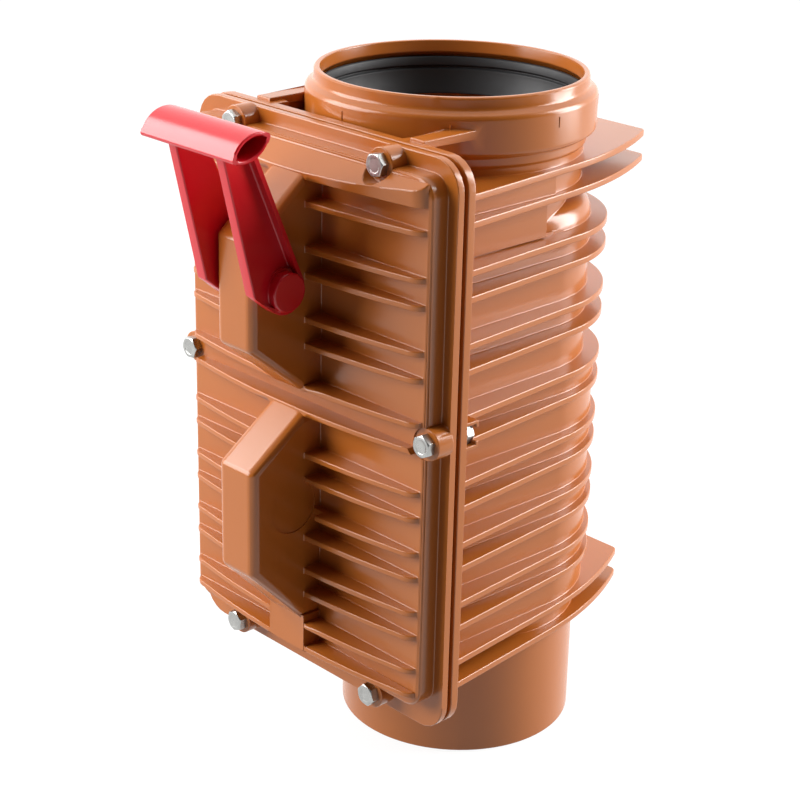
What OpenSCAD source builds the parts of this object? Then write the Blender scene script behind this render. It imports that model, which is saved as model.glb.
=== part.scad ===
// Backwater valve with two swing flaps, a ribbed inspection cover and an emergency locking lever.
// The valve stands on its outlet: +Z runs up the pipe towards the inlet socket, -Y is the cover side,
// and the origin is the centre of the outlet spigot's end.

/* [Pipe ends] */
// Outside diameter of the drain pipe that the socket takes, and of the spigot
pipe_d = 160; // [154:1:166]
// Wall thickness of the body moulding
wall = 4; // [3.6:0.1:4.4]
// Step from the inlet axis to the outlet axis
fall = 22; // [20:1:25]
// Free length of the spigot below the lowest foot plate
spigot_l = 80.2; // [70:0.1:100]
// Height of the socket above the highest foot plate
socket_h = 48.5; // [47.5:0.1:56]
// Rise of the seal bead above the rim
bead_rise = 5.6; // [5:0.1:6.5]

/* [Body] */
// Thickness of the ribs and foot plates
rib_t = 4.4; // [3.6:0.1:5]
// Height between the two ribs of a pair
pair_gap = 16.5; // [15:0.5:18]
// Reach of the ribs beyond the chamber's flat sides, at the flange
rib_side = 18; // [16:0.5:20]
// Reach of the ribs beyond the spigot, at the chamber's round back
rib_back = 8; // [7.5:0.5:10]
// Step of the upper chamber's round back in from the flat sides
back_step = 3; // [2:0.5:4]
// Shift of the lower chamber's round back away from the cover
back_shift = 5; // [4:0.5:6]
// Reach of the foot plates behind the outlet axis
foot_reach = 104; // [98:1:110]
// Thickness of the body's flange
body_flange_t = 6; // [5:0.5:7]

/* [Cover] */
// Width of the flanges outside the ribs
flange_edge = 19; // [18:0.5:22]
// Thickness of the cover's flange
cover_flange_t = 5; // [4:0.5:6]
// Thickness of the flat gasket between the flanges
gasket_t = 3; // [2:0.1:4]
// Height of the raised panel above the cover's flange
panel_h = 13; // [12.5:0.5:15]
// Height of the cover's ribs above the panel, at the middle
fin_h = 13.5; // [12:0.5:15]
// Fall of the ribs' bowed front edge from the middle to their ends
fin_fall = 7.5; // [6:0.5:8.5]
// Thickness of the cover's ribs
fin_t = 3.6; // [2.8:0.1:4]
// Wall thickness of the cover's panel
skin = 3.5; // [3:0.1:4]
// Width of the two hollow humps
hump_w = 33.4; // [32:0.2:36]
// Reach of the humps beyond the cover's ribs
hump_h = 41; // [39.5:0.5:42.5]
// Distance of the end bolts from the middle
bolt_x = 65.5; // [60:0.5:70]

/* [Lever] */
// Turn of the lever from free to locked, in degrees
lever_travel = 75; // [65:1:80]
// Distance from the shaft to the middle of the handle
lever_l = 102; // [96:1:110]
// Length of the hollow handle
handle_l = 84; // [76:1:96]
// Thickness of the lever's arms
arm_t = 9; // [8:0.5:10]
// Radius of the lever's shaft
shaft_r = 7; // [6.5:0.1:7.4]

/* [Flaps] */
// Radius of the openings that the flaps close
seat_r = 47; // [44:0.5:50]
// Overlap of the flaps beyond those openings
flap_lap = 6; // [5:0.5:7]
// Thickness of the flap plates
flap_t = 5; // [4:0.5:6]
// Thickness of the rubber on the flaps
seal_t = 2.7; // [2.2:0.1:3.2]
// Thickness of the frames that carry the flaps
frame_t = 6; // [5:0.5:7]
// Radius of the hinge pins
pin_r = 3; // [2.6:0.1:3.4]

/* [Hidden] */
$fn = 64;

orange = [0.76, 0.42, 0.20];
red = [0.80, 0.07, 0.12];
black = [0.10, 0.10, 0.11];
steel = [0.72, 0.73, 0.74];
grey = [0.55, 0.56, 0.58];
lap = 0.5;
round_fn = 128;

// Radii of the pipe ends
socket_play = 0.25;
pipe_r = pipe_d / 2;
bore_r = pipe_r - wall;
socket_r = pipe_r + socket_play;
neck_r = socket_r + wall;
mouth_r = socket_r + 2.15;
rim_r = mouth_r + wall;
bead_r = rim_r + bead_rise;
groove_r = bead_r - wall;
seal_play = 0.25;
seal_lip = 8;
seal_ring_w = 12;
inlet_y = -fall;

// Flap sizes: each hangs from its pin and shuts against the frame above it
fit_gap = 0.02;
turn_gap = 0.08;
flap_offset = 1;
flap_r = seat_r + flap_lap;
flap_neck = 20;
flap_mid = flap_neck + flap_r;
flap_l = flap_mid + flap_r;
seat_gap = flap_t - flap_offset + seal_t + 0.3;
knuckle_r = pin_r + 3;
knuckle_w = 26;
lug_w = 6;
lug_x = knuckle_w + 1;
clip_t = 1.2;
tail_l = 22;
tail_t = 8;
tail_w = 12;

// Heights, from the spigot's end up to the rim
swing_gap = 2.5;
slide_gap = 1;
chamber_z = spigot_l + rib_t + pair_gap;
lower_pin_z = chamber_z + swing_gap + flap_l;
lower_seat_z = lower_pin_z + seat_gap;
upper_pin_z = lower_seat_z + frame_t + swing_gap + flap_l;
upper_seat_z = upper_pin_z + seat_gap;
ceiling_z = upper_seat_z + frame_t + slide_gap;
socket_stop_z = ceiling_z + 7;
top_foot_z = ceiling_z + rib_t + pair_gap;
valve_h = top_foot_z + socket_h;
seal_z1 = valve_h - 12.5;
seal_z0 = seal_z1 - 16;

// Rib pairs fill the height between the foot plates, a little wider apart beside the upper flap
pair_count = 6;
mean_pitch = (top_foot_z - chamber_z) / (pair_count + 1);
pitch_step = 2.25;
function pair_z(i) = i <= pair_count / 2
    ? top_foot_z - (mean_pitch + pitch_step) * i
    : chamber_z + (mean_pitch - pitch_step) * (pair_count + 1 - i);

// Chamber widths: flat sides, and a round back that is wider beside the lower flap
side_half = pipe_r;
inner_half = side_half - wall;
lower_back_r = side_half + 1;
upper_back_r = side_half - back_step;
back_step_z = pair_z(3) - rib_t / 2;
side_end_y = -15;
shoulder_r = 12;
shoulder_z = ceiling_z - 23;
slot_half = inner_half - 5.5;
ledge = 5.5;
rib_half = side_half + rib_side;
rib_r = pipe_r + rib_back;
flange_w = 2 * (rib_half + flange_edge);
flange_z0 = chamber_z - 32;
flange_z1 = top_foot_z + 28.5;
flange_corner = 19;

// Planes along Y, from the body's flange out to the front of the humps
body_back_y = inlet_y - bead_r - 3;
body_inner_y = body_back_y - lap;
body_front_y = body_back_y - body_flange_t;
cover_back_y = body_front_y - gasket_t;
cover_front_y = cover_back_y - cover_flange_t;
panel_y = cover_front_y - panel_h;
fin_y = panel_y - fin_h;
hump_y = fin_y - hump_h;
hinge_y = body_back_y + 7;
frame_front_y = body_back_y + 3;

// Cover panel, its rib pairs and its humps
panel_half = flange_w / 2 - 8;
panel_z0 = flange_z0 + 19;
panel_z1 = flange_z1 - 9.5;
panel_corner = 12;
band_rise = 10.5;
band_z = panel_z1 - 13;
last_pair_z = panel_z0 + 28.5;
fin_pairs = 7;
fin_step = 4.75;
fin_pitch = (band_z - last_pair_z - 4 * fin_step) / fin_pairs;
function fin_z(i) = i <= 4 ? band_z - (fin_pitch + fin_step) * i : last_pair_z + fin_pitch * (fin_pairs - i);
fin_end = panel_half - 14;
fin_end_w = 11;
fin_end_h = fin_h - fin_fall;
hump_wall = 3;
upper_hump = [for (drop = [1, 35, 102.5, 136]) band_z - drop];
lower_hump = [for (drop = [151, 181, 250, 291]) band_z - drop];

// Round mark on the sides of the lower hump
mark_r = 17.5;
mark_y = fin_y - 8.5;
mark_z = band_z - 211;
mark_depth = 0.6;
mark_room = 9;

// M8 fasteners
bolt_r = 4;
bolt_play = 0.3;
hex_af = 13;
head_t = 5.3;
nut_t = 6.5;
boss_r = 10;
boss_h = 12;
holder_half = 8.9;
bolt_places = [for (side = [-1, 1], p = [[bolt_x, flange_z1 - 9],
                                         [flange_w / 2 - 7.5, pair_z(3) - rib_t / 2],
                                         [bolt_x, flange_z0 + 13]]) [side * p[0], p[1]]];

// Lever, its shaft and its bearings
pivot_y = hump_y + 18.5;
pivot_z = band_z - 65;
lever_lean = 21.8;
handle_y = pivot_y - lever_l * sin(lever_lean);
handle_z = pivot_z + lever_l * cos(lever_lean);
handle_tilt = 24;
handle_chord = 30.6;
handle_t = 15;
handle_wall = 2.4;
arm_x0 = hump_w / 2 + 1.3;
arm_x1 = arm_x0 + arm_t;
arm_end_r = 14.5;
arm_toe = 24;
arm_lip = 3;
arm_web = 3;
arm_lean = 18;
hub_r = 12;
hub_rise = 3;
hub_base_r = 13.5;
bush_r = shaft_r + 2;
bush_x0 = hump_w / 2 - hump_wall - 0.2;
bush_x1 = hump_w / 2 + 0.2;
ring_r = 1.3;
square_w = 9;
square_x = arm_x0 + 6.5;

// Lock arm: in the locked position its tip stands just in front of the shut flap's tail
lock_tip_r = 5;
lock_w = 16;
lock_hub_r = 11;
lock_pin_r = 2;
lock_tip = [hinge_y - tail_t / 2 - 1 - lock_tip_r, upper_pin_z - 14];
lock_reach = norm([lock_tip[0] - pivot_y, lock_tip[1] - pivot_z]);
lock_rest = atan2(lock_tip[1] - pivot_z, lock_tip[0] - pivot_y) - lever_travel;

// An arc of points about a centre, from one angle to another
function arc(c, r, a0, a1, n = 6) =
    [for (i = [0:n]) [c[0] + r * cos(a0 + (a1 - a0) * i / n), c[1] + r * sin(a0 + (a1 - a0) * i / n)]];

// A rectangle with round corners, as X and Z points
function rounded(half_w, z0, z1, r) = concat(
    arc([half_w - r, z1 - r], r, 0, 90), arc([r - half_w, z1 - r], r, 90, 180),
    arc([r - half_w, z0 + r], r, 180, 270), arc([half_w - r, z0 + r], r, 270, 360));

// The right half of an outline, from front to back, closed by its own mirror image
function both_sides(half) = concat(half, [for (i = [len(half) - 1:-1:0]) [-half[i][0], half[i][1]]]);

// An outline in X and Z, made solid from one Y plane to the next
module plate_y(points, y0, y1)
    translate([0, y1, 0]) rotate([90, 0, 0]) linear_extrude(y1 - y0) polygon(points);

// An outline in Y and Z, made solid from one X plane to the next
module plate_x(points, x0, x1)
    translate([x0, 0, 0]) rotate([90, 0, 90]) linear_extrude(x1 - x0) polygon(points);

// A round bar along Y
module bar_y(x, z, r, y0, y1) translate([x, y1, z]) rotate([90, 0, 0]) cylinder(h = y1 - y0, r = r);

// A round bar along X
module bar_x(y, z, r, x0, x1) translate([x0, y, z]) rotate([0, 90, 0]) cylinder(h = x1 - x0, r = r);

// A hexagon bar along Y, turned about its own axis
module hex_y(x, z, y0, y1, turn)
    translate([x, y1, z]) rotate([90, 0, 0]) rotate(turn)
        cylinder(h = y1 - y0, r = hex_af / 2 / cos(30), $fn = 6);

// Straight sides that run from the cover end onto a round back, and end just inside it
module straight_sides(half_w, back_r, mid_y, front_y) {
    reach = norm([half_w, front_y - mid_y]);
    touch = atan2(front_y - mid_y, half_w) + acos(back_r / reach);
    touch_r = 0.999 * back_r;
    polygon(both_sides([[half_w, front_y], [touch_r * cos(touch), mid_y + touch_r * sin(touch)]]));
}

// A flat section across the chamber: straight sides and a round back
module chamber_plan(half_w, back_r, mid_y, front_y) {
    straight_sides(half_w, back_r, mid_y, front_y);
    translate([0, mid_y]) circle(back_r, $fn = round_fn);
}

// One stiffening rib round the body, given by its upper face
module rib(z)
    translate([0, 0, z - rib_t]) linear_extrude(rib_t) chamber_plan(rib_half, rib_r, 0, body_inner_y);

// One foot plate: straight sides, then a long curve to a flat end with round corners behind the pipe
module foot_plate(z) {
    foot_half = side_half + 6.5;
    curve_r = 277;
    corner_r = 5;
    start = atan((rib_half - foot_half) / -body_back_y);
    mid = [foot_half - curve_r * cos(start), -curve_r * sin(start)];
    end = asin((foot_reach - corner_r - mid[1]) / (curve_r - corner_r));
    corner = mid + (curve_r - corner_r) * [cos(end), sin(end)];
    translate([0, 0, z - rib_t]) linear_extrude(rib_t)
        polygon(both_sides(concat([[rib_half, body_inner_y]], arc(mid, curve_r, start, end - 2, 8),
                                  arc(corner, corner_r, end, 90, 4))));
}

// Holder behind the body's flange that keeps a nut from turning, given on the right side
module nut_holder(x, z)
    translate([x - 9, body_inner_y, z - holder_half])
        cube([min(18, flange_w / 2 - x + 9), nut_t + 3 + lap, 2 * holder_half]);

module nut_slot(x, z) {
    translate([x - 8, body_back_y, z - hex_af / 2 - 0.1]) cube([20, nut_t + 0.6, hex_af + 0.2]);
    translate([x - 8, body_back_y, z - bolt_r - 0.4]) cube([20, nut_t + 4, 2 * bolt_r + 0.8]);
}

// Outside of the socket, as radius and height: neck, small ring, bead and rim
module socket_outside() {
    outline = concat([[0, ceiling_z], [neck_r, ceiling_z], [neck_r, valve_h - 43.5],
                      [rim_r - 0.4, valve_h - 42], [rim_r - 0.4, valve_h - 37]],
                     arc([bead_r - 3, valve_h - 32], 3, 270, 360), arc([bead_r - 4, valve_h - 13], 4, 0, 75),
                     [[rim_r + 0.6, valve_h - 7.8], [rim_r, valve_h - 6], [rim_r, valve_h - 1],
                      [rim_r - 1, valve_h], [0, valve_h]]);
    translate([0, inlet_y, 0]) rotate_extrude($fn = round_fn) polygon(outline);
}

// Inside of the socket: passage, pipe stop, pipe bore, seal groove and flared mouth
module socket_inside() {
    passage_r = slot_half - ledge;
    translate([0, inlet_y, 0]) rotate_extrude($fn = round_fn)
        polygon([[0, ceiling_z - 1], [passage_r, ceiling_z - 1], [passage_r, socket_stop_z],
                 [socket_r, socket_stop_z], [socket_r, seal_z0 - 2], [groove_r, seal_z0], [groove_r, seal_z1],
                 [mouth_r - 0.6, valve_h - 7.5], [mouth_r + 0.4, valve_h + lap], [0, valve_h + lap]]);
}

// The upper half of the chamber: straight sides, and a round back with a domed top
module upper_chamber(half_w, back_r, edge_r, z0) {
    translate([0, 0, z0]) linear_extrude(shoulder_z - z0) straight_sides(half_w, back_r, 0, body_inner_y);
    rotate_extrude($fn = round_fn) polygon(concat([[0, z0], [back_r, z0]],
        arc([back_r - edge_r, shoulder_z], edge_r, 0, 90), [[0, shoulder_z + edge_r]]));
}

// The chamber's solid outside: wide lower half, narrower upper half with a dome, and a collar at the inlet
module chamber_outside() {
    bottom_z = chamber_z - rib_t;
    translate([0, 0, bottom_z]) linear_extrude(back_step_z - bottom_z)
        chamber_plan(side_half, lower_back_r, back_shift, body_inner_y);
    upper_chamber(side_half, upper_back_r, shoulder_r, back_step_z - 1);
    translate([-side_half, body_inner_y, shoulder_z - 1])
        cube([2 * side_half, side_end_y - body_inner_y, ceiling_z - shoulder_z + 1 + rib_t / 2]);
    translate([0, inlet_y, shoulder_z])
        cylinder(h = ceiling_z - shoulder_z + 1, r = slot_half + 1 + wall, $fn = round_fn);
}

// Room inside the chamber: a slot with a ledge for the upper frame, and rails for the lower one
module chamber_inside() {
    step_z = back_step_z - wall;
    rail_w = ledge + 1;
    passage_half = slot_half - ledge;
    difference() {
        translate([0, 0, chamber_z]) linear_extrude(step_z - chamber_z)
            chamber_plan(inner_half, lower_back_r - wall, back_shift, body_inner_y);
        for (side = [-1, 1], z = [lower_seat_z - 4.3, lower_seat_z + frame_t + 0.3])
            translate([side * (inner_half + 1 - rail_w / 2) - rail_w / 2, frame_front_y, z])
                cube([rail_w, 90, 4]);
    }
    upper_chamber(inner_half, upper_back_r - wall, shoulder_r - wall, step_z - 1);
    translate([0, 0, shoulder_z - 2]) linear_extrude(ceiling_z - shoulder_z + 1.5)
        chamber_plan(passage_half, passage_half + 1, inlet_y, body_inner_y);
    translate([0, 0, upper_seat_z - 0.3]) linear_extrude(ceiling_z - upper_seat_z + 0.3)
        chamber_plan(slot_half, slot_half + 1, inlet_y, body_inner_y);
}

// Body moulding: socket, chamber, spigot, ribs, foot plates and flange in one piece
module housing() color(orange) difference() {
    union() {
        plate_y(rounded(flange_w / 2, flange_z0, flange_z1, flange_corner), body_front_y, body_back_y);
        for (i = [1:pair_count], drop = [0, pair_gap]) rib(pair_z(i) - drop);
        for (z = [top_foot_z, chamber_z], drop = [0, pair_gap]) foot_plate(z - drop);
        chamber_outside();
        // Wider block between the upper foot plates
        translate([-side_half - 6, body_inner_y, ceiling_z + 1])
            cube([2 * side_half + 12, side_end_y - body_inner_y, pair_gap + rib_t - 2]);
        socket_outside();
        cylinder(h = chamber_z, r = pipe_r, $fn = round_fn);
        // Stiffeners from the flange's top to the bead
        for (side = [-1, 1])
            translate([side * (bolt_x + 3.5) - 6, body_inner_y, flange_z1 - 2.7]) cube([12, 45, 4.7]);
        for (p = bolt_places) mirror([p[0] < 0 ? 1 : 0, 0, 0]) nut_holder(abs(p[0]), p[1]);
    }
    socket_inside();
    chamber_inside();
    translate([-inner_half, body_front_y - 1, chamber_z + 3])
        cube([2 * inner_half, body_flange_t + 2, ceiling_z - chamber_z - 3]);
    translate([0, 0, -1]) cylinder(h = chamber_z + 2, r = bore_r, $fn = round_fn);
    for (p = bolt_places) {
        bar_y(p[0], p[1], bolt_r + bolt_play, body_front_y - 1, body_back_y + 1);
        mirror([p[0] < 0 ? 1 : 0, 0, 0]) nut_slot(abs(p[0]), p[1]);
    }
}

// Lip seal in the socket's bead, shaped to stay just clear of the pipe
module socket_seal() color(black)
    translate([0, inlet_y, 0]) rotate_extrude($fn = round_fn)
        polygon([[groove_r - 0.2, seal_z0 + 0.4], [groove_r - 0.2, seal_z1 - 0.4], [mouth_r + 1, seal_z1 + 2],
                 [mouth_r - 1, seal_z1 + 1.8], [socket_r + seal_play, seal_z1 - 3],
                 [socket_r + seal_play, seal_z1 - seal_lip], [socket_r + 3, seal_z0 + 2]]);

// Outline of a cover rib in X and Y: a bowed front edge with round ends that run down to the panel
fin_bow_r = (fin_end * fin_end + fin_fall * fin_fall) / (2 * fin_fall);
fin_bow = asin(fin_end / fin_bow_r);
fin_outline = both_sides(concat(
    [for (i = [1:5]) [fin_bow_r * sin(fin_bow * i / 5), fin_y + fin_bow_r * (1 - cos(fin_bow * i / 5))]],
    [for (a = [18:18:90]) [fin_end + fin_end_w * sin(a), panel_y - fin_end_h * cos(a)]],
    [[fin_end + fin_end_w, panel_y + 1]]));

// A cover rib, given by its upper face
module fin(z, t) translate([0, 0, z - t]) linear_extrude(t) polygon(fin_outline);

// Sloping band along the panel's top edge, above the first rib
module top_band() intersection() {
    fin(band_z + band_rise, band_rise + fin_t);
    plate_x([[panel_y + 1, band_z - fin_t], [fin_y, band_z - fin_t], [fin_y, band_z],
             [panel_y, band_z + band_rise], [panel_y + 1, band_z + band_rise]], -panel_half, panel_half);
}

// Side of a hump in Y and Z, drawn in by an amount on every outer side
function hump_outline(z, inset, base_y) = [
    [base_y, z[0] - 1.25 * inset], [fin_y, z[0] - 1.25 * inset], [hump_y + inset, z[1] - 0.45 * inset],
    [hump_y + inset, z[2] + 0.45 * inset], [fin_y, z[3] + 1.25 * inset], [base_y, z[3] + 1.25 * inset]];

// A hump's outside with rounded edges: each step pairs a draw-in of the width with one of the outline
module hump(z) hull()
    for (step = [[0, 4.5], [1.3, 1.3], [4.5, 0]])
        plate_x(hump_outline(z, step[1], panel_y + 1), step[0] - hump_w / 2, hump_w / 2 - step[0]);

module hump_inside(z)
    plate_x(hump_outline(z, hump_wall, panel_y + skin + 1), hump_wall - hump_w / 2, hump_w / 2 - hump_wall);

// Panel with its front edge rounded in three steps
module panel()
    for (step = [[0, 2.2], [0.7, 0.7], [2.2, 0]])
        plate_y(rounded(panel_half - step[0], panel_z0 + step[0], panel_z1 - step[0], panel_corner - step[0]),
                panel_y + step[1], cover_front_y + lap);

// Inspection cover: flange, raised panel, ribs, two humps and six bolt bosses in one moulding
module cover() color(orange) difference() {
    union() {
        plate_y(rounded(flange_w / 2, flange_z0, flange_z1, flange_corner), cover_front_y, cover_back_y);
        panel();
        top_band();
        fin(band_z - pair_gap, fin_t);
        for (i = [1:fin_pairs], drop = [0, pair_gap]) fin(fin_z(i) - drop, fin_t);
        hump(upper_hump);
        hump(lower_hump);
        // Flat strip from the lower hump down to the panel's end
        translate([-hump_w / 2, fin_y, panel_z0 + 9])
            cube([hump_w, fin_h + 1, lower_hump[3] - panel_z0 - 8]);
        for (p = bolt_places) bar_y(p[0], p[1], boss_r, cover_front_y - boss_h, cover_front_y + lap);
    }
    plate_y(rounded(panel_half - skin, panel_z0 + skin, panel_z1 - skin, panel_corner - skin),
            panel_y + skin, cover_back_y + 1);
    hump_inside(upper_hump);
    hump_inside(lower_hump);
    bar_x(pivot_y, pivot_z, bush_r + fit_gap, -hump_w, hump_w);
    // Round sunk mark on each side of the lower hump, with the ribs cut back in front of it
    for (side = [0, 1]) mirror([side, 0, 0])
        bar_x(mark_y, mark_z, mark_r, hump_w / 2 - mark_depth, hump_w / 2 + mark_room);
    for (p = bolt_places) {
        bar_y(p[0], p[1], bolt_r + bolt_play, fin_y - 1, cover_back_y + 1);
        bar_y(p[0], p[1], boss_r + 0.4, fin_y - 1, cover_front_y - boss_h);
    }
}

// Flat gasket that seals the cover to the body, inside the ring of bolts
module cover_gasket() color(black) {
    gasket_w = 10;
    half = flange_w / 2 - 7.5 - bolt_r - 2.5;
    z0 = flange_z0 + 13 + bolt_r + 2;
    z1 = flange_z1 - 9 - bolt_r - 3;
    difference() {
        plate_y(rounded(half, z0, z1, 12), cover_back_y, body_front_y);
        plate_y(rounded(half - gasket_w, z0 + gasket_w, z1 - gasket_w, 6), cover_back_y - 1, body_front_y + 1);
    }
}

module cover_bolts() color(steel) for (p = bolt_places) {
    head_y = cover_front_y - boss_h;
    hex_y(p[0], p[1], head_y - head_t, head_y, 90);
    bar_y(p[0], p[1], bolt_r, head_y - 1, body_back_y + nut_t + 2);
}

module cover_nuts() color(steel) for (p = bolt_places) difference() {
    hex_y(p[0], p[1], body_back_y + 0.1, body_back_y + nut_t, 0);
    bar_y(p[0], p[1], bolt_r + fit_gap, body_back_y - 1, body_back_y + nut_t + 1);
}

// Almond-shaped section of the handle, drawn in by an amount for its hollow
module almond(inset) {
    bow = handle_t / 2;
    r = (handle_chord * handle_chord / 4 + bow * bow) / handle_t;
    intersection() {
        translate([0, r - bow]) circle(r - inset, $fn = round_fn);
        translate([0, bow - r]) circle(r - inset, $fn = round_fn);
        square([handle_chord - 1.6 - inset, handle_t], center = true);
    }
}

module handle_bar(inset, length)
    translate([-length / 2, handle_y, handle_z]) rotate([90, 0, 90])
        linear_extrude(length) rotate(handle_tilt) almond(inset);

// Side of a lever arm in Y and Z: a toe in front that runs onto a round end about the shaft, and a back edge.
// For the recess in its outer face, the front edge is moved out and the rest drawn in
function arm_outline(inset, front) = let (r = arm_end_r - inset) concat(
    [[pivot_y - arm_toe - front, pivot_z + 1]], arc([pivot_y, pivot_z], r, 180 + acos(r / arm_toe), 380, 8),
    [[handle_y + 10.3 - inset, handle_z + 3.3], [handle_y - 7.2 - front, handle_z - 6.7]]);

// Recess in an arm's outer face: its floor slopes from the front edge down to a lip along the back edge
module arm_recess() intersection() {
    floor_x = arm_x0 + arm_web;
    plate_x(arm_outline(arm_lip, 4), arm_x0, arm_x1 + 1);
    translate([0, pivot_y, pivot_z]) rotate([arm_lean, 0, 0]) translate([0, 0, -arm_toe])
        linear_extrude(2 * lever_l)
            polygon([[arm_x1 + 2, -2 * arm_toe], [arm_x1, -arm_toe], [floor_x, arm_toe / 3],
                     [floor_x, 2 * arm_toe], [arm_x1 + 2, 2 * arm_toe]]);
}

module lever_arm() {
    difference() {
        plate_x(arm_outline(0, 0), arm_x0, arm_x1);
        arm_recess();
    }
    bar_x(pivot_y, pivot_z, hub_base_r, arm_x0, arm_x1 - hub_rise);
    bar_x(pivot_y, pivot_z, hub_r, arm_x0, arm_x1 + hub_rise);
}

// Locking lever: hollow handle across two arms that straddle the upper hump
module lever() color(red) difference() {
    union() {
        handle_bar(0, handle_l);
        lever_arm();
        mirror([1, 0, 0]) lever_arm();
    }
    handle_bar(handle_wall, 2 * handle_l);
    translate([0, pivot_y, pivot_z]) cube([2 * square_x + 1, square_w + 0.2, square_w + 0.2], center = true);
}

// Shaft through the upper hump, with square ends that the lever turns
module lever_shaft() color(steel) difference() {
    union() {
        bar_x(pivot_y, pivot_z, shaft_r, 0.4 - arm_x0, arm_x0 - 0.4);
        translate([0, pivot_y, pivot_z]) cube([2 * square_x, square_w, square_w], center = true);
    }
    translate([0, pivot_y, pivot_z]) rotate([lock_rest, 0, 0])
        cylinder(h = 4 * shaft_r, r = lock_pin_r + fit_gap, center = true);
}

// Arm on the shaft that swings in front of the upper flap's tail and keeps the flap shut
module lock_arm() color(grey) translate([0, pivot_y, pivot_z]) rotate([lock_rest, 0, 0]) difference() {
    rotate([90, 0, 90]) linear_extrude(lock_w, center = true) {
        circle(lock_hub_r);
        translate([0, 0.4 - lock_tip_r]) square([lock_reach, 2 * lock_tip_r - 0.8]);
        translate([lock_reach, 0]) circle(lock_tip_r);
    }
    rotate([0, 90, 0]) cylinder(h = 2 * lock_w, r = shaft_r + fit_gap, center = true);
    cylinder(h = 4 * lock_hub_r, r = lock_pin_r + fit_gap, center = true);
}

// Cross pin that fixes the lock arm to the shaft
module lock_arm_pin() color(steel)
    translate([0, pivot_y, pivot_z]) rotate([lock_rest, 0, 0])
        cylinder(h = 2 * lock_hub_r, r = lock_pin_r, center = true);

module shaft_bushes() color(grey) for (side = [0, 1]) mirror([side, 0, 0]) difference() {
    bar_x(pivot_y, pivot_z, bush_r, bush_x0, bush_x1);
    bar_x(pivot_y, pivot_z, shaft_r + 0.05, 0, hump_w);
}

module shaft_o_rings() color(black) for (side = [-1, 1])
    translate([side * (bush_x0 - ring_r - 0.6), pivot_y, pivot_z]) rotate([0, 90, 0])
        rotate_extrude() translate([shaft_r + ring_r + 0.2, 0]) circle(ring_r);

// Frame that carries a flap: a plate across the chamber with a round seat and two hinge lugs
module flap_frame(pin_z, half_w, mid_y) {
    seat_z = pin_z + seat_gap;
    lug_half = pin_r + 3;
    difference() {
        union() {
            translate([0, 0, seat_z]) linear_extrude(frame_t)
                chamber_plan(half_w, half_w + 1, mid_y, frame_front_y);
            for (side = [0, 1]) mirror([side, 0, 0])
                translate([lug_x, hinge_y - lug_half, pin_z - lug_half])
                    cube([lug_w, 2 * lug_half + 2, seat_gap + lug_half + 1]);
        }
        translate([0, hinge_y + flap_mid, seat_z - 1]) cylinder(h = frame_t + 2, r = seat_r, $fn = round_fn);
        bar_x(hinge_y, pin_z, pin_r + fit_gap, -2 * lug_x, 2 * lug_x);
    }
}

// Seal round a frame's edge, between the frame and the chamber wall
module frame_seal(seat_z, frame_half, wall_half, mid_y)
    translate([0, 0, seat_z + frame_t / 4]) linear_extrude(frame_t / 2) difference() {
        chamber_plan(wall_half - 0.1, wall_half + 0.9, mid_y, frame_front_y);
        chamber_plan(frame_half + 0.05, frame_half + 1.05, mid_y, frame_front_y - 1);
    }

module hinge_pin(pin_z) bar_x(hinge_y, pin_z, pin_r, -lug_x - lug_w - 3, lug_x + lug_w + 3);

module hinge_clips(pin_z) for (side = [0, 1]) mirror([side, 0, 0]) difference() {
    bar_x(hinge_y, pin_z, pin_r + 2.5, lug_x + lug_w + 0.3, lug_x + lug_w + 0.3 + clip_t);
    bar_x(hinge_y, pin_z, pin_r + fit_gap, 0, 2 * lug_x);
}

// Flap, hanging from its pin: a round plate, a hinge knuckle, and a tail that the lock arm meets
module flap(pin_z) difference() {
    union() {
        bar_y(0, pin_z - flap_mid, flap_r, hinge_y - flap_offset, hinge_y - flap_offset + flap_t);
        translate([-knuckle_w, hinge_y - flap_offset, pin_z - flap_mid])
            cube([2 * knuckle_w, flap_t, flap_mid]);
        bar_x(hinge_y, pin_z, knuckle_r, -knuckle_w, knuckle_w);
        translate([-tail_w / 2, hinge_y - tail_l, pin_z - tail_t / 2]) cube([tail_w, tail_l, tail_t]);
    }
    bar_x(hinge_y, pin_z, pin_r + turn_gap, -2 * knuckle_w, 2 * knuckle_w);
}

// A flat ring on the flap's seat side, between two radii
module flap_ring(pin_z, r0, r1) {
    face_y = hinge_y - flap_offset + flap_t;
    difference() {
        bar_y(0, pin_z - flap_mid, r1, face_y, face_y + seal_t);
        bar_y(0, pin_z - flap_mid, r0, face_y - 1, face_y + seal_t + 1);
    }
}

seal_inner_r = seat_r - 5;
upper_frame_half = slot_half - 2;
lower_frame_half = inner_half - 2.5;

module upper_frame() color(grey) flap_frame(upper_pin_z, upper_frame_half, inlet_y);
module upper_frame_seal() color(black) frame_seal(upper_seat_z, upper_frame_half, slot_half, inlet_y);
module upper_hinge_pin() color(steel) hinge_pin(upper_pin_z);
module upper_hinge_clips() color(steel) hinge_clips(upper_pin_z);
module upper_flap() color(orange) flap(upper_pin_z);
module upper_flap_seal() color(black) flap_ring(upper_pin_z, seal_inner_r, flap_r - 0.5);
module upper_seal_ring() color(grey) flap_ring(upper_pin_z, seal_inner_r - seal_ring_w, seal_inner_r - 0.05);
module lower_frame() color(grey) flap_frame(lower_pin_z, lower_frame_half, back_shift);
module lower_frame_seal() color(black) frame_seal(lower_seat_z, lower_frame_half, inner_half, back_shift);
module lower_hinge_pin() color(steel) hinge_pin(lower_pin_z);
module lower_hinge_clips() color(steel) hinge_clips(lower_pin_z);
module lower_flap() color(orange) flap(lower_pin_z);
module lower_flap_seal() color(black) flap_ring(lower_pin_z, seal_inner_r, flap_r - 0.5);
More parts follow.
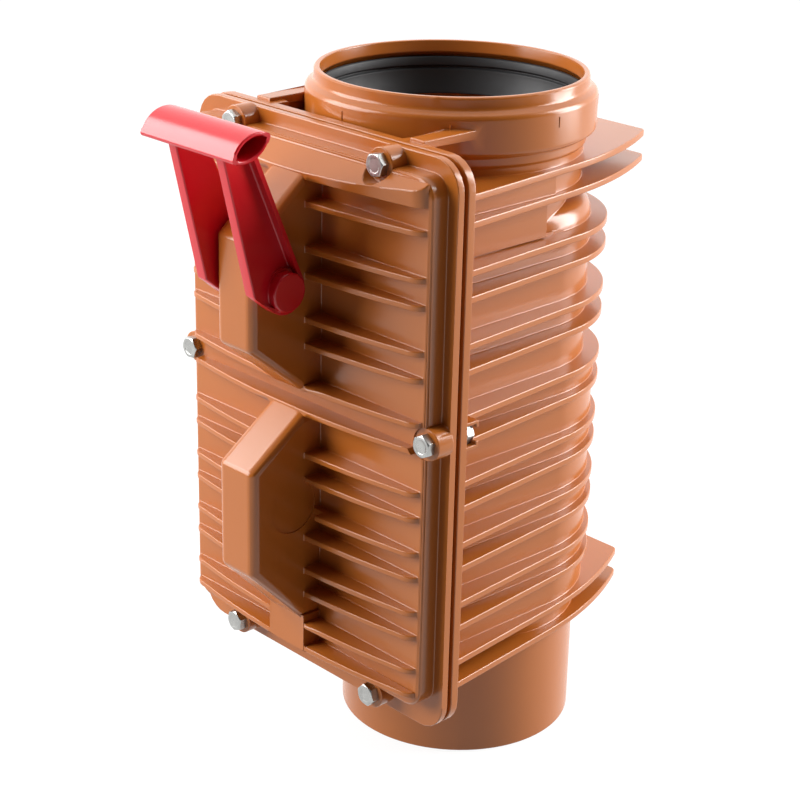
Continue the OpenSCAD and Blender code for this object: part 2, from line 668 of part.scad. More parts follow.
module lower_seal_ring() color(grey) flap_ring(lower_pin_z, seal_inner_r - seal_ring_w, seal_inner_r - 0.05);

housing();
socket_seal();
cover();
cover_gasket();
cover_bolts();
cover_nuts();
lever();
lever_shaft();
lock_arm();
lock_arm_pin();
shaft_bushes();
shaft_o_rings();
upper_frame();
upper_frame_seal();
upper_hinge_pin();
upper_hinge_clips();
upper_flap();
upper_flap_seal();
upper_seal_ring();
lower_frame();
lower_frame_seal();
lower_hinge_pin();
lower_hinge_clips();
lower_flap();
lower_flap_seal();
lower_seal_ring();
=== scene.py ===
import math

import bpy
from mathutils import Matrix, Vector
from mathutils.bvhtree import BVHTree
from mathutils.geometry import intersect_point_line


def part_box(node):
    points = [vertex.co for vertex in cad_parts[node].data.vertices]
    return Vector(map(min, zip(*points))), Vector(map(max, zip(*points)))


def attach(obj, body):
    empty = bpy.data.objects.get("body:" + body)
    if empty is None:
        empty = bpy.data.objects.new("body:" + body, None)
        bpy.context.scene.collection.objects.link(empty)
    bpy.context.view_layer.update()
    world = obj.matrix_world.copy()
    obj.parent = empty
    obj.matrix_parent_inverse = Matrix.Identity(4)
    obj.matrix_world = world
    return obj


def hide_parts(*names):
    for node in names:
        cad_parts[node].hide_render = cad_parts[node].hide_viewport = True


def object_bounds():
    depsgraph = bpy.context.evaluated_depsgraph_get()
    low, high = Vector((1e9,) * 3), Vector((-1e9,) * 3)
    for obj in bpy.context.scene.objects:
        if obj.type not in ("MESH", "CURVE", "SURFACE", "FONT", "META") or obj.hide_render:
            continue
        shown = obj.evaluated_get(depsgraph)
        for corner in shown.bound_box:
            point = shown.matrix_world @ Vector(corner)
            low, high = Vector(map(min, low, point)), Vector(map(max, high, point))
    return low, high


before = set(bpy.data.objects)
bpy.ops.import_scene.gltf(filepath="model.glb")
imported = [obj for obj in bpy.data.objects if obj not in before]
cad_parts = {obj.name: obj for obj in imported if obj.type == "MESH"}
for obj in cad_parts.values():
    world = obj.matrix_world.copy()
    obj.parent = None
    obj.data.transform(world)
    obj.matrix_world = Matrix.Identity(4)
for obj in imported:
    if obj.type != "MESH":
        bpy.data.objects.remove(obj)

cad_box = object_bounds()

# Studio: the valve stands on a plain pale floor in a white room that is dark on the camera's side.
# A large soft panel hangs over its left front, another stands at its right, behind the plane of the cover.
# The camera stands at the cover's right, above the valve, and looks down at it.
bpy.ops.object.select_all(action="DESELECT")
floor_size = 5.0
floor_drop = 0.0005
floor_grey = 0.12
floor_glow_seen = 0.9
floor_glow_on_pieces = 0.32
bpy.ops.mesh.primitive_plane_add(size=floor_size, location=(0, 0, -floor_drop))
floor = bpy.context.object
floor.name = "floor"
floor_material = bpy.data.materials.new("pale_floor")
floor_material.use_nodes = True
floor_nodes = floor_material.node_tree.nodes
floor_links = floor_material.node_tree.links
floor_shader = floor_nodes["Principled BSDF"]
floor_shader.inputs["Base Color"].default_value = (floor_grey, floor_grey, floor_grey, 1)
floor_shader.inputs["Emission Color"].default_value = (1, 1, 1, 1)
floor_shader.inputs["Roughness"].default_value = 0.9
floor_shader.inputs["Specular IOR Level"].default_value = 0.1
floor_path = floor_nodes.new("ShaderNodeLightPath")
floor_glow = floor_nodes.new("ShaderNodeMapRange")
floor_glow.inputs["To Min"].default_value = floor_glow_seen
floor_glow.inputs["To Max"].default_value = floor_glow_on_pieces
floor_links.new(floor_path.outputs["Is Diffuse Ray"], floor_glow.inputs["Value"])
floor_links.new(floor_glow.outputs["Result"], floor_shader.inputs["Emission Strength"])
floor.data.materials.append(floor_material)

camera_place = Vector((0.8566, -0.883, 0.7125))
camera_right = Vector((0.6864, 0.7269, 0.0211))
camera_up = Vector((-0.2823, 0.2395, 0.9289))
camera_back = camera_right.cross(camera_up)
camera_turn = Matrix((camera_right, camera_up, camera_back)).transposed()
bpy.ops.object.camera_add(location=camera_place)
camera = bpy.context.object
camera.rotation_mode = "QUATERNION"
camera.rotation_quaternion = camera_turn.to_quaternion()
camera.data.sensor_width = 36.0
camera.data.lens = 88.16
bpy.context.scene.camera = camera

room_dark = 0.06
room_bright = 1.6
room_white = 1.0
room_bright_side = (-0.62, 0.62, 0.48)
room_fade = 0.7
room = bpy.data.worlds.new("white_room")
room.use_nodes = True
room_nodes = room.node_tree.nodes
room_links = room.node_tree.links
room_light = room_nodes["Background"]
room_light.inputs["Color"].default_value = (1, 1, 1, 1)
room_backdrop = room_nodes.new("ShaderNodeBackground")
room_backdrop.inputs["Color"].default_value = (1, 1, 1, 1)
room_backdrop.inputs["Strength"].default_value = room_white
room_places = room_nodes.new("ShaderNodeTexCoord")
room_side = room_nodes.new("ShaderNodeVectorMath")
room_side.operation = "DOT_PRODUCT"
room_side.inputs[1].default_value = room_bright_side
room_level = room_nodes.new("ShaderNodeMapRange")
room_level.interpolation_type = "SMOOTHSTEP"
room_level.inputs["From Max"].default_value = room_fade
room_level.inputs["To Min"].default_value = room_dark
room_level.inputs["To Max"].default_value = room_bright
room_path = room_nodes.new("ShaderNodeLightPath")
room_mix = room_nodes.new("ShaderNodeMixShader")
room_links.new(room_places.outputs["Generated"], room_side.inputs[0])
room_links.new(room_side.outputs["Value"], room_level.inputs["Value"])
room_links.new(room_level.outputs["Result"], room_light.inputs["Strength"])
room_links.new(room_path.outputs["Is Camera Ray"], room_mix.inputs["Fac"])
room_links.new(room_light.outputs["Background"], room_mix.inputs[1])
room_links.new(room_backdrop.outputs["Background"], room_mix.inputs[2])
room_links.new(room_mix.outputs["Shader"], room_nodes["World Output"].inputs["Surface"])
bpy.context.scene.world = room
bpy.context.scene.view_settings.view_transform = "Standard"

valve_middle = (cad_box[0] + cad_box[1]) / 2


def light_panel(name, direction, distance, size, power):
    """A soft panel that faces the valve from a direction."""
    place = valve_middle + Vector(direction).normalized() * distance
    bpy.ops.object.light_add(type="AREA", location=place)
    panel = bpy.context.object
    panel.name = name
    panel.data.shape = "RECTANGLE"
    panel.data.size = size[0]
    panel.data.size_y = size[1]
    panel.data.energy = power
    panel.visible_camera = False
    panel.rotation_mode = "QUATERNION"
    panel.rotation_quaternion = (valve_middle - place).to_track_quat("-Z", "Y")


light_panel("left_panel", (-0.62, -0.66, 0.42), 1.6, (1.4, 1.3), 48)
light_panel("right_panel", (0.5, 0.81, 0.3), 1.9, (0.9, 1.6), 66)


# Body: one injection moulding in orange-brown plastic, with socket, chamber, ribs, foot plates and spigot.
# Its edges come off the tool slightly rounded, and the surface is smooth and glossy with a faint flow pattern.
moulded_radius = 0.0007
merge_distance = 0.00001
fold_reach = 0.0003
# Passes of rounding: edges up to a length (m) beside a fold keep a share of their radius.
rounding_passes = [(0.002, 0), (0.005, 0), (0.012, 0), (0.03, 0.4), (1, 0.4), (0.03, 0), (1, 0), (0, 0)]


def new_piece(name, mesh):
    """A piece with a mesh of its own, as the only selected and active one."""
    bpy.ops.object.select_all(action="DESELECT")
    piece = bpy.data.objects.new(name, mesh)
    bpy.context.scene.collection.objects.link(piece)
    bpy.context.view_layer.objects.active = piece
    piece.select_set(True)
    return piece


def shade(piece, sharp_angle):
    """Shade a piece smooth with its flat faces kept flat."""
    bpy.ops.object.shade_smooth_by_angle(angle=sharp_angle)
    flattening = piece.modifiers.new("flat_faces", "WEIGHTED_NORMAL")
    flattening.weight = 100
    flattening.keep_sharp = True
    bpy.ops.object.modifier_apply(modifier="flat_faces")


def round_edges(piece, edge_radius, limit_method, sharp_angle):
    """Round the edges that are sharper than an angle, or all that carry a weight."""
    rounding = piece.modifiers.new("rounded_edges", "BEVEL")
    rounding.width = edge_radius
    rounding.segments = 3
    rounding.limit_method = limit_method
    rounding.angle_limit = sharp_angle
    rounding.use_clamp_overlap = False
    rounding.miter_outer = "MITER_SHARP"
    bpy.ops.object.modifier_apply(modifier="rounded_edges")
    bpy.ops.object.mode_set(mode="EDIT")
    bpy.ops.mesh.select_all(action="SELECT")
    bpy.ops.mesh.quads_convert_to_tris(quad_method="BEAUTY", ngon_method="BEAUTY")
    bpy.ops.object.mode_set(mode="OBJECT")


def folded_places(piece, plain_surface, edge_radius):
    """Where the rounding has turned a face over or thrown it off the plain surface."""
    places = []
    for face in piece.data.polygons:
        foot, normal, index, distance = plain_surface.find_nearest(face.center)
        turned = distance < fold_reach and face.normal.dot(normal) < -0.2
        if turned or distance > 2 * edge_radius:
            places.append(face.center.copy())
    return places


def edges_near(mesh, plain_surface, places, reach):
    """The edges that pass within reach of any of the places."""
    near = set()
    for place in places:
        for foot, normal, index, distance in plain_surface.find_nearest_range(place, reach):
            for key in mesh.polygons[index].edge_keys:
                start, end = [mesh.vertices[number].co for number in key]
                share = intersect_point_line(place, start, end)[1]
                if (start.lerp(end, min(1, max(0, share))) - place).length < reach:
                    near.add(key)
    return near


def rounded_copy(node, piece_name, body, edge_radius, wide_radius=None, widened=None, reshape=None):
    """A copy of a CAD node with its facets joined into whole faces and its edges rounded.

    Edges that widened(edge, mesh) picks get the wide radius. Where the faces beside an edge have no room
    for its radius, the edge gets less of it, short edges first.
    """
    sharp_angle = math.radians(38)
    widest_from, widest_to, full_width = [math.radians(degrees) for degrees in (15, 60, 40)]
    largest = wide_radius or edge_radius
    plain = new_piece("plain_" + node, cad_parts[node].data.copy())
    bpy.ops.mesh.customdata_custom_splitnormals_clear()
    bpy.ops.object.mode_set(mode="EDIT")
    bpy.ops.mesh.select_all(action="SELECT")
    bpy.ops.mesh.remove_doubles(threshold=merge_distance)
    bpy.ops.mesh.dissolve_limited(angle_limit=math.radians(0.5))
    bpy.ops.mesh.select_all(action="SELECT")
    bpy.ops.mesh.vert_connect_concave()
    bpy.ops.object.mode_set(mode="OBJECT")
    mesh = plain.data
    if reshape:
        reshape(mesh)
    plain_surface = BVHTree.FromPolygons([vertex.co for vertex in mesh.vertices],
                                         [face.vertices[:] for face in mesh.polygons])
    faces_at = {}
    for face in mesh.polygons:
        for key in face.edge_keys:
            faces_at.setdefault(key, []).append(face)
    mesh.attributes.new("bevel_weight_edge", "FLOAT", "EDGE")
    weights = mesh.attributes["bevel_weight_edge"].data
    for edge in mesh.edges:
        faces = faces_at.get(edge.key, [])
        angle = faces[0].normal.angle(faces[1].normal, 0) if len(faces) == 2 else 0
        if widened and widest_from < angle < widest_to and widened(edge, mesh):
            weights[edge.index].value = min(1, angle / full_width)
        elif angle > sharp_angle:
            weights[edge.index].value = edge_radius / largest
    number_of = {edge.key: edge.index for edge in mesh.edges}
    for longest, share in rounding_passes:
        piece = new_piece(piece_name, mesh.copy())
        round_edges(piece, largest, "WEIGHT", sharp_angle)
        places = folded_places(piece, plain_surface, largest)
        if not places or longest == 0:
            break
        for key in edges_near(mesh, plain_surface, places, 2 * edge_radius):
            start, end = [mesh.vertices[number].co for number in key]
            if (end - start).length < longest:
                weights[number_of[key]].value *= share
        bpy.data.objects.remove(piece)
    bpy.data.objects.remove(plain)
    piece.name = piece_name
    shade(piece, sharp_angle)
    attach(piece, body)
    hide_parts(node)
    return piece


def soften_edges(piece, edge_radius, sharp_angle):
    """Round every edge of a new piece that is sharper than an angle, and shade it."""
    bpy.ops.object.select_all(action="DESELECT")
    bpy.context.view_layer.objects.active = piece
    piece.select_set(True)
    round_edges(piece, edge_radius, "ANGLE", sharp_angle)
    shade(piece, sharp_angle)


def surface_group():
    """Clouds, scuffs and fine texture that every surface of the valve shows in its own measure."""
    group = bpy.data.node_groups.new("surface_marks", "ShaderNodeTree")
    group.interface.new_socket("Vector", in_out="INPUT", socket_type="NodeSocketVector")
    for name in ["Cloud Size", "Texture Size"]:
        group.interface.new_socket(name, in_out="INPUT", socket_type="NodeSocketFloat")
    for name in ["Cloud", "Scuff", "Height"]:
        group.interface.new_socket(name, in_out="OUTPUT", socket_type="NodeSocketFloat")
    entry = group.nodes.new("NodeGroupInput")
    result = group.nodes.new("NodeGroupOutput")
    cloud = group.nodes.new("ShaderNodeTexNoise")
    cloud.inputs["Detail"].default_value = 3
    cloud.inputs["Distortion"].default_value = 0.6
    scuff = group.nodes.new("ShaderNodeTexNoise")
    scuff.inputs["Scale"].default_value = 55
    scuff.inputs["Detail"].default_value = 6
    scuff.inputs["Roughness"].default_value = 0.7
    texture = group.nodes.new("ShaderNodeTexNoise")
    texture.inputs["Detail"].default_value = 2
    for noise in [cloud, scuff, texture]:
        group.links.new(entry.outputs["Vector"], noise.inputs["Vector"])
    group.links.new(entry.outputs["Cloud Size"], cloud.inputs["Scale"])
    group.links.new(entry.outputs["Texture Size"], texture.inputs["Scale"])
    group.links.new(cloud.outputs["Fac"], result.inputs["Cloud"])
    group.links.new(scuff.outputs["Fac"], result.inputs["Scuff"])
    group.links.new(texture.outputs["Fac"], result.inputs["Height"])
    return group


surface_marks = surface_group()


def surface(name, deep, pale, gloss, cloud_size, texture_size, texture_height):
    """A material whose colour drifts from deep to pale in clouds.

    gloss is its lowest and highest roughness.
    """
    material = bpy.data.materials.new(name)
    material.use_nodes = True
    nodes = material.node_tree.nodes
    links = material.node_tree.links
    shader = nodes["Principled BSDF"]
    places = nodes.new("ShaderNodeTexCoord")
    marks = nodes.new("ShaderNodeGroup")
    marks.node_tree = surface_marks
    marks.inputs["Cloud Size"].default_value = cloud_size
    marks.inputs["Texture Size"].default_value = texture_size
    tint = nodes.new("ShaderNodeMix")
    tint.data_type = "RGBA"
    tint.inputs["A"].default_value = (*deep, 1)
    tint.inputs["B"].default_value = (*pale, 1)
    sheen = nodes.new("ShaderNodeMapRange")
    sheen.inputs["From Min"].default_value = 0.3
    sheen.inputs["From Max"].default_value = 0.7
    sheen.inputs["To Min"].default_value = gloss[0]
    sheen.inputs["To Max"].default_value = gloss[1]
    bump = nodes.new("ShaderNodeBump")
    bump.inputs["Distance"].default_value = texture_height
    bump.inputs["Strength"].default_value = 0.5
    links.new(places.outputs["Object"], marks.inputs["Vector"])
    links.new(marks.outputs["Cloud"], tint.inputs["Factor"])
    links.new(marks.outputs["Scuff"], sheen.inputs["Value"])
    links.new(marks.outputs["Height"], bump.inputs["Height"])
    links.new(tint.outputs["Result"], shader.inputs["Base Color"])
    links.new(sheen.outputs["Result"], shader.inputs["Roughness"])
    links.new(bump.outputs["Normal"], shader.inputs["Normal"])
    return material


def dress(piece, material):
    """Give a new piece its only material."""
    piece.data.materials.clear()
    piece.data.materials.append(material)


orange_plastic = surface("orange_plastic", (0.375, 0.104, 0.014), (0.425, 0.122, 0.018), (0.2, 0.24),
                         cloud_size=9, texture_size=90, texture_height=0.00001)
body_moulding = rounded_copy("housing", "body_moulding", "housing", moulded_radius)
dress(body_moulding, orange_plastic)


# Bead marks: small upright ridges round the socket's bead, moulded with it in the same plastic.
# Each one is sunk to half its thickness in the bead, and its ends are rounded.
seal_low, seal_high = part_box("socket_seal")
bead_axis_y = (seal_low.y + seal_high.y) / 2
bead_radius = 0.092
mark_count = 8
mark_length = 0.0065
mark_radius = 0.0004
mark_height = 0.4365
mark_pieces = []
for number in range(mark_count):
    turn = 2 * math.pi * number / mark_count
    place = (bead_radius * math.cos(turn), bead_axis_y + bead_radius * math.sin(turn), mark_height)
    bpy.ops.object.select_all(action="DESELECT")
    bpy.ops.mesh.primitive_cylinder_add(vertices=12, radius=mark_radius, depth=mark_length, location=place)
    bpy.ops.object.transform_apply(location=True, rotation=True, scale=True)
    soften_edges(bpy.context.object, mark_radius / 2, math.radians(60))
    mark_pieces.append(bpy.context.object)
for mark in mark_pieces:
    mark.select_set(True)
bpy.ops.object.join()
bead_marks = bpy.context.object
bead_marks.name = "bead_marks"
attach(bead_marks, "housing")
dress(bead_marks, orange_plastic)


# Gusset: upright plate of the body's plastic between the left stiffener and the upper foot plate.
# It runs from the socket's neck towards the flange, ends in a slope clear of the nut, and has rounded edges.
gusset_low = Vector((-0.0685, -0.108, 0.405))
gusset_high = Vector((-0.0645, -0.071, 0.433))
gusset_slope = 0.009
at_corner = 0.001
bpy.ops.object.select_all(action="DESELECT")
bpy.ops.mesh.primitive_cube_add(size=1, location=(gusset_low + gusset_high) / 2,
                                scale=gusset_high - gusset_low)
gusset = bpy.context.object
gusset.name = "stiffener_gusset"
bpy.ops.object.transform_apply(location=True, rotation=True, scale=True)
for vertex in gusset.data.vertices:
    if vertex.co.y < gusset_low.y + at_corner and vertex.co.z < gusset_low.z + at_corner:
        vertex.co.y += gusset_slope
soften_edges(gusset, moulded_radius, math.radians(60))
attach(gusset, "housing")
dress(gusset, orange_plastic)


# Socket seal: a black rubber ring with two lips that sits in the bead and grips the pipe.
# It is moulded as a ring and pressed into the bead's groove, below the flared mouth.
def turned_piece(name, profile, axis_place, axis, steps):
    """Spin a closed profile of (radius, height) points once round an axis."""
    bpy.ops.object.select_all(action="DESELECT")
    bpy.ops.mesh.primitive_circle_add(vertices=len(profile), radius=profile[0][0])
    piece = bpy.context.object
    piece.name = name
    outward = Vector(axis).orthogonal().normalized()
    for vertex, (radius, height) in zip(piece.data.vertices, profile):
        vertex.co = Vector(axis_place) + outward * radius + Vector(axis) * height
    bpy.ops.object.mode_set(mode="EDIT")
    bpy.ops.mesh.select_all(action="SELECT")
    bpy.ops.mesh.spin(steps=steps, angle=2 * math.pi, center=axis_place, axis=axis)
    bpy.ops.mesh.select_all(action="SELECT")
    bpy.ops.mesh.remove_doubles(threshold=merge_distance)
    bpy.ops.mesh.delete_loose()
    bpy.ops.mesh.select_all(action="SELECT")
    bpy.ops.mesh.normals_make_consistent(inside=False)
    bpy.ops.object.mode_set(mode="OBJECT")
    return piece


seal_rubber = surface("seal_rubber", (0.013, 0.013, 0.014), (0.022, 0.022, 0.024), (0.5, 0.62),
                      cloud_size=25, texture_size=900, texture_height=0.00002)
seal_thickness = 0.0072
seal_radius = 0.0003
seal_outer = (seal_high.x - seal_low.x) / 2
seal_bore = seal_outer - seal_thickness
seal_top = seal_high.z
# From the outside over the upper band, the groove and the lower band to the inner lip, and back under it
seal_profile = [(seal_outer, seal_low.z + 0.0002), (seal_outer, seal_top - 0.0026),
                (seal_outer - 0.0036, seal_top - 0.0005), (seal_bore + 0.0022, seal_top),
                (seal_bore + 0.001, seal_top - 0.0006), (seal_bore + 0.0002, seal_top - 0.003),
                (seal_bore, seal_top - 0.0056), (seal_bore + 0.0018, seal_top - 0.0066),
                (seal_bore + 0.0018, seal_top - 0.0074), (seal_bore, seal_top - 0.0084),
                (seal_bore - 0.0003, seal_top - 0.0105), (seal_bore - 0.0018, seal_top - 0.016),
                (seal_bore - 0.0052, seal_top - 0.0225), (seal_bore - 0.0054, seal_top - 0.0236),
                (seal_bore - 0.0044, seal_top - 0.0238), (seal_bore - 0.0008, seal_top - 0.0172),
                (seal_bore + 0.001, seal_top - 0.0148), (seal_outer - 0.0018, seal_low.z)]
lip_seal = turned_piece("socket_lip_seal", seal_profile, (0, bead_axis_y, 0), (0, 0, 1), 128)
soften_edges(lip_seal, seal_radius, math.radians(30))
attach(lip_seal, "housing")
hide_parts("socket_seal")
dress(lip_seal, seal_rubber)


# Frames: grey plastic plates across the chamber, each with a round seat and two lugs for its flap's hinge.
# They slide in from the cover side; a rubber strip round each edge seals it to the chamber.
def coat(node, material):
    """Give a CAD node that keeps its shape its material."""
    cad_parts[node].material_slots[0].material = material


small_radius = 0.0005
grey_plastic = surface("grey_plastic", (0.19, 0.2, 0.21), (0.25, 0.26, 0.28), (0.32, 0.45),
                       cloud_size=14, texture_size=1100, texture_height=0.00008)
for height in ["upper", "lower"]:
    flap_frame = rounded_copy(height + "_frame", height + "_seat_frame", "housing", small_radius)
    dress(flap_frame, grey_plastic)
    coat(height + "_frame_seal", seal_rubber)


# Flaps: orange plastic plates that hang from steel pins in their frames and swing up to shut.
# Each carries a rubber ring that a grey plastic ring clamps to it, inside the seat.
ring_radius = 0.0004
for height in ["upper", "lower"]:
    flap_plate = rounded_copy(height + "_flap", height + "_flap_plate", height + "_flap", small_radius)
    dress(flap_plate, orange_plastic)
    coat(height + "_flap_seal", seal_rubber)
    clamp_ring = rounded_copy(height + "_seal_ring", height + "_clamp_ring", height + "_flap", ring_radius)
    dress(clamp_ring, grey_plastic)


# Hinge pins and clips: turned zinc-plated steel, with a spring clip outside each lug.
# The plating is bright with faint grey clouds.
zinc_steel = surface("zinc_steel", (0.3, 0.3, 0.29), (0.52, 0.52, 0.5), (0.2, 0.38),
                     cloud_size=160, texture_size=900, texture_height=0.00004)
zinc_steel.node_tree.nodes["Principled BSDF"].inputs["Metallic"].default_value = 1.0
for height in ["upper", "lower"]:
    coat(height + "_hinge_pin", zinc_steel)
    coat(height + "_hinge_clips", zinc_steel)


# Cover: the ribbed lid with two hollow humps and six bolt bosses, moulded from the same plastic as the body.
# A flat black rubber gasket lies between its flange and the body's.
hump_half = 0.0167
hump_slack = 0.0003
hump_foot_y = -0.1573
hump_radius = 0.0022
panel_half = 0.109
panel_low_z, panel_high_z = 0.0881, 0.425
panel_corner = 0.012
# Each step's Y plane, its inset from the panel's outline, and how far its corner moves out and forward
panel_steps = [(-0.1418, 0.0007, 0.00035, 0.00075), (-0.1433, 0.0022, 0.00075, 0.00035)]
step_y_slack = 0.00008
step_inset_slack = 0.00012


def on_hump(edge, mesh):
    """Whether an edge belongs to the outside of a hump."""
    ends = [mesh.vertices[number].co for number in edge.vertices]
    reach = max(abs(end.x) for end in ends)
    return max(end.y for end in ends) < hump_foot_y and reach < hump_half + hump_slack


def slope_panel_edge(mesh):
    """Draw the inner corners of the two small steps round the panel's edge out into a slope."""
    panel_middle_z = (panel_low_z + panel_high_z) / 2
    panel_tall = (panel_high_z - panel_low_z) / 2
    for vertex in mesh.vertices:
        across = abs(vertex.co.x) - (panel_half - panel_corner)
        along = abs(vertex.co.z - panel_middle_z) - (panel_tall - panel_corner)
        outward = Vector((max(across, 0), max(along, 0)))
        inset = panel_corner - (outward.length if outward.length > 0 else max(across, along))
        for step_y, step_inset, shift, rise in panel_steps:
            on_step = abs(vertex.co.y - step_y) < step_y_slack and abs(inset - step_inset) < step_inset_slack
            if on_step and outward.length > 0:
                outward.normalize()
                vertex.co.x += math.copysign(outward.x * shift, vertex.co.x)
                vertex.co.z += math.copysign(outward.y * shift, vertex.co.z - panel_middle_z)
                vertex.co.y -= rise


ribbed_cover = rounded_copy("cover", "ribbed_cover", "housing", moulded_radius, hump_radius, on_hump,
                            slope_panel_edge)
dress(ribbed_cover, orange_plastic)
coat("cover_gasket", seal_rubber)


# Bolts: six zinc-plated M8 hexagon bolts that clamp the cover down, each left at its own angle by the spanner.
# The head is forged, with a turned chamfer and a shallow dish, and the thread is rolled.
hex_flats = 0.013
chamfer_share = 0.96
forged_radius = 0.00018


def solid_boxes(node):
    """The lowest and highest corner of each separate solid in a CAD node, from the bottom up."""
    new_piece("copy_of_" + node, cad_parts[node].data.copy())
    bpy.ops.object.mode_set(mode="EDIT")
    bpy.ops.mesh.select_all(action="SELECT")
    bpy.ops.mesh.remove_doubles(threshold=merge_distance)
    bpy.ops.mesh.separate(type="LOOSE")
    bpy.ops.object.mode_set(mode="OBJECT")
    boxes = []
    for solid in list(bpy.context.selected_objects):
        corners = [Vector(corner) for corner in solid.bound_box]
        boxes.append((Vector(map(min, *corners)), Vector(map(max, *corners))))
        bpy.data.objects.remove(solid)
    return sorted(boxes, key=lambda box: (round(box[0].z, 3), box[0].x))


def cut(piece, tool, operation):
    """Shape a piece with another one, which is then removed."""
    shaping = piece.modifiers.new("shaping", "BOOLEAN")
    shaping.operation = operation
    shaping.object = tool
    shaping.solver = "EXACT"
    bpy.context.view_layer.objects.active = piece
    bpy.ops.object.modifier_apply(modifier="shaping")
    bpy.data.objects.remove(tool)


def hexagon_prism(name, front_y, back_y, chamfered_sides):
    """A hexagon bar along Y with 30 degree turned chamfers: -1 is its front end and 1 its back end."""
    length = back_y - front_y
    middle = (0, (front_y + back_y) / 2, 0)
    bpy.ops.object.select_all(action="DESELECT")
    corner_radius = hex_flats / 2 / math.cos(math.pi / 6)
    bpy.ops.mesh.primitive_cylinder_add(vertices=6, radius=corner_radius, depth=length, location=middle,
                                        rotation=(math.pi / 2, 0, 0))
    bpy.ops.object.transform_apply(location=True, rotation=True, scale=True)
    prism = bpy.context.object
    prism.name = name
    narrow = hex_flats / 2 * chamfer_share
    wide = narrow + length / math.tan(math.pi / 6)
    for side in chamfered_sides:
        bpy.ops.mesh.primitive_cone_add(vertices=64, radius1=wide, radius2=narrow, depth=length,
                                        location=middle, rotation=(-side * math.pi / 2, 0, 0))
        cut(prism, bpy.context.object, "INTERSECT")
    return prism


def set_out(pattern, name, places):
    """Copies of a pattern piece, one at each (place, turn about Y), joined into one piece."""
    bpy.ops.object.select_all(action="DESELECT")
    for place, turn in places:
        copy = bpy.data.objects.new(name, pattern.data.copy())
        copy.data.transform(Matrix.Translation(place) @ Matrix.Rotation(turn, 4, "Y"))
        bpy.context.scene.collection.objects.link(copy)
        copy.select_set(True)
        bpy.context.view_layer.objects.active = copy
    bpy.data.objects.remove(pattern)
    bpy.ops.object.join()
    group = bpy.context.object
    group.name = name
    return group


def middle_in_plan(box):
    """The middle of a box in X and Z, at Y 0."""
    low, high = box
    return Vector(((low.x + high.x) / 2, 0, (low.z + high.z) / 2))


bolt_radius = 0.004
bolt_boxes = solid_boxes("cover_bolts")
head_front = bolt_boxes[0][0].y
head_height = 0.0053
bolt_end = bolt_boxes[0][1].y
thread_pitch = 0.00125
thread_depth = 0.0007
thread_turns = 14
dish_rim = 0.0016
dish_slope = 0.0006
dish_depth = 0.00025
bolt_head = hexagon_prism("bolt_head", head_front, head_front + head_height, [-1])
bpy.ops.object.mode_set(mode="EDIT")
bpy.ops.mesh.select_all(action="DESELECT")
bpy.ops.object.mode_set(mode="OBJECT")
for face in bolt_head.data.polygons:
    face.select = face.normal.y < -0.99
bpy.ops.object.mode_set(mode="EDIT")
bpy.ops.mesh.inset(thickness=dish_rim, depth=0)
bpy.ops.mesh.inset(thickness=dish_slope, depth=-dish_depth)
bpy.ops.object.mode_set(mode="OBJECT")
soften_edges(bolt_head, forged_radius, math.radians(20))
thread_start = bolt_end - (thread_turns + 0.5) * thread_pitch
shank_profile = [(0, head_front + head_height / 2), (bolt_radius, head_front + head_height / 2)]
for number in range(thread_turns):
    crest = thread_start + number * thread_pitch
    shank_profile.append((bolt_radius, crest))
    shank_profile.append((bolt_radius - thread_depth, crest + thread_pitch / 2))
shank_profile += [(bolt_radius - thread_depth, bolt_end), (0, bolt_end)]
bolt_shank = turned_piece("bolt_shank", shank_profile, (0, 0, 0), (0, 1, 0), 32)
bpy.ops.object.shade_smooth_by_angle(angle=math.radians(30))
bolt_head.select_set(True)
bpy.context.view_layer.objects.active = bolt_head
bpy.ops.object.join()
spanner_angles = [8, -16, 24, 3, -9, 19]
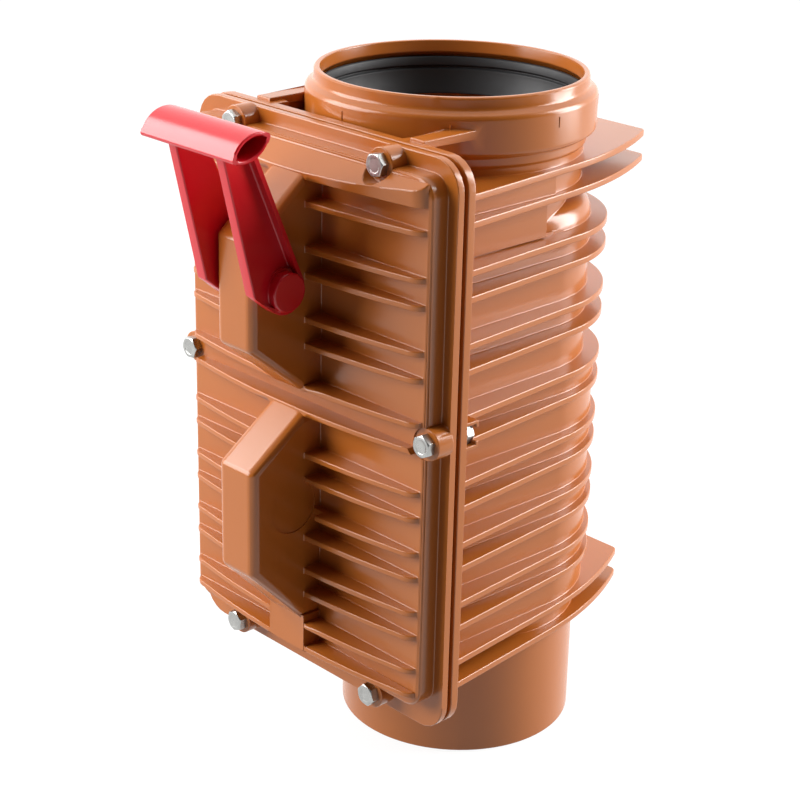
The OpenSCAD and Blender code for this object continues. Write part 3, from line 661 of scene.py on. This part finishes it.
bolt_places = [(middle_in_plan(box), math.radians(angle)) for box, angle in zip(bolt_boxes, spanner_angles)]
hex_bolts = set_out(bolt_head, "hex_bolts", bolt_places)
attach(hex_bolts, "housing")
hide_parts("cover_bolts")
dress(hex_bolts, zinc_steel)


# Nuts: six zinc-plated M8 hexagon nuts, chamfered on both ends.
# Each one sits in a slot behind the body's flange that keeps it from turning.
nut_boxes = solid_boxes("cover_nuts")
nut_front = nut_boxes[0][0].y
nut_back = nut_boxes[0][1].y
nut_middle = (0, (nut_front + nut_back) / 2, 0)
drill_length = 0.02
hex_nut = hexagon_prism("hex_nut", nut_front, nut_back, [-1, 1])
bpy.ops.mesh.primitive_cylinder_add(vertices=32, radius=bolt_radius, depth=drill_length, location=nut_middle,
                                    rotation=(math.pi / 2, 0, 0))
cut(hex_nut, bpy.context.object, "DIFFERENCE")
soften_edges(hex_nut, forged_radius, math.radians(20))
nut_places = [(middle_in_plan(box), math.pi / 6) for box in nut_boxes]
hex_nuts = set_out(hex_nut, "hex_nuts", nut_places)
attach(hex_nuts, "housing")
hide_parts("cover_nuts")
dress(hex_nuts, zinc_steel)


# Lever shaft: a zinc-plated steel shaft with square ends, in grey plastic bushes with rubber rings
# behind them. A grey plastic arm is pinned to it inside the upper hump and keeps the upper flap shut
# when the lever is turned.
coat("lever_shaft", zinc_steel)
coat("lock_arm_pin", zinc_steel)
coat("shaft_bushes", grey_plastic)
coat("shaft_o_rings", seal_rubber)
locking_arm = rounded_copy("lock_arm", "locking_arm", "lever", small_radius)
dress(locking_arm, grey_plastic)


# Lever: glossy red plastic, one moulding with a hollow almond-shaped handle on two arms.
# The arms straddle the upper hump and fit on the square ends of the shaft.
lever_radius = 0.001
red_plastic = surface("red_plastic", (0.5, 0.004, 0.011), (0.58, 0.006, 0.015), (0.22, 0.27),
                      cloud_size=18, texture_size=120, texture_height=0.00002)
locking_lever = rounded_copy("lever", "locking_lever", "lever", lever_radius)
dress(locking_lever, red_plastic)
